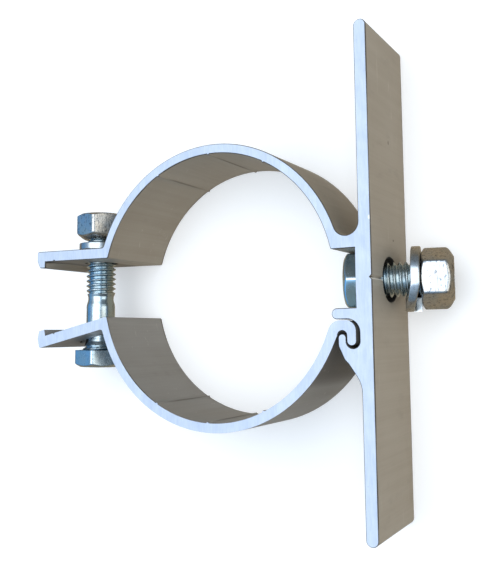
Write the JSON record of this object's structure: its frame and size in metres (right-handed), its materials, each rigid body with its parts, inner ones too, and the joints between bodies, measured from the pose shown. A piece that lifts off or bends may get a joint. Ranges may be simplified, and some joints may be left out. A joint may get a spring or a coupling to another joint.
{
  "type": "sign post clamp",
  "caption": "Hinged aluminium clamp for a round sign post: half rings that close on a bolt, and a long flat plate with a slotted bolt that carries the sign",
  "frame": {"origin": "On the post's axis, at half the width of the band", "axes": "+Z runs along the post, +X points from the post to the sign, +Y runs along the plate towards the fixed half ring"},
  "size_m": [0.131, 0.1326, 0.028],
  "materials": {
    "body_aluminium": "mill finish extrusion with sawn ends",
    "arm_aluminium": "mill finish extrusion with sawn ends",
    "zinc_bolt": "bright zinc plated steel",
    "zinc_washer": "bright zinc plated steel",
    "zinc_nut": "bright zinc plated steel"
  },
  "bodies": {
    "base": {"clamp_body": "body_aluminium", "clamp_washer": "zinc_washer"},
    "arm": {"swing_arm": "arm_aluminium"},
    "clamp_bolt": {"clamp_bolt": "zinc_bolt"},
    "clamp_nut": {"clamp_nut": "zinc_nut"},
    "sign_bolt": {"sign_bolt": "zinc_bolt"},
    "sign_washer": {"sign_washer": "zinc_washer"},
    "sign_nut": {"sign_nut": "zinc_nut"}
  },
  "joints": [
    {"name": "clamp_bolt_lift", "type": "slide", "parent": "base", "child": "clamp_bolt", "axis": [0.0209, 0.9998, 0], "range_m": [-0.005, 0.0155]},
    {"name": "clamp_nut_turn", "type": "hinge", "parent": "base", "child": "clamp_nut", "pos_m": [-0.0508, 0.0142, 0], "axis": [-0.0209, -0.9998, 0], "range_deg": [-1135, 3516]},
    {"name": "arm_swing", "type": "hinge", "parent": "base", "child": "arm", "pos_m": [0.03985, -0.01458, 0], "axis": [0, 0, 1], "range_deg": [-8.6, 2.8]},
    {"name": "sign_bolt_rock", "type": "hinge", "parent": "base", "child": "sign_bolt", "pos_m": [0.04703, 0.0006, 0.00865], "axis": [0, -1, 0], "range_deg": [0, 14]},
    {"name": "sign_washer_travel", "type": "slide", "parent": "sign_bolt", "child": "sign_washer", "axis": [0.9703, 0, -0.2419], "range_m": [-0.003, 0.005]},
    {"name": "sign_nut_turn", "type": "hinge", "parent": "sign_washer", "child": "sign_nut", "pos_m": [0.06, 0.0006, -0.0035], "axis": [0.9703, 0, -0.2419], "range_deg": [-681, 1135]}
  ],
  "couplings": [
    {"joint": "clamp_nut_turn", "follows": "clamp_bolt_lift", "rad_per_m": 3957.9},
    {"joint": "arm_swing", "follows": "clamp_bolt_lift", "rad_per_m": -9.57},
    {"joint": "sign_nut_turn", "follows": "sign_washer_travel", "rad_per_m": 3957.9}
  ]
}
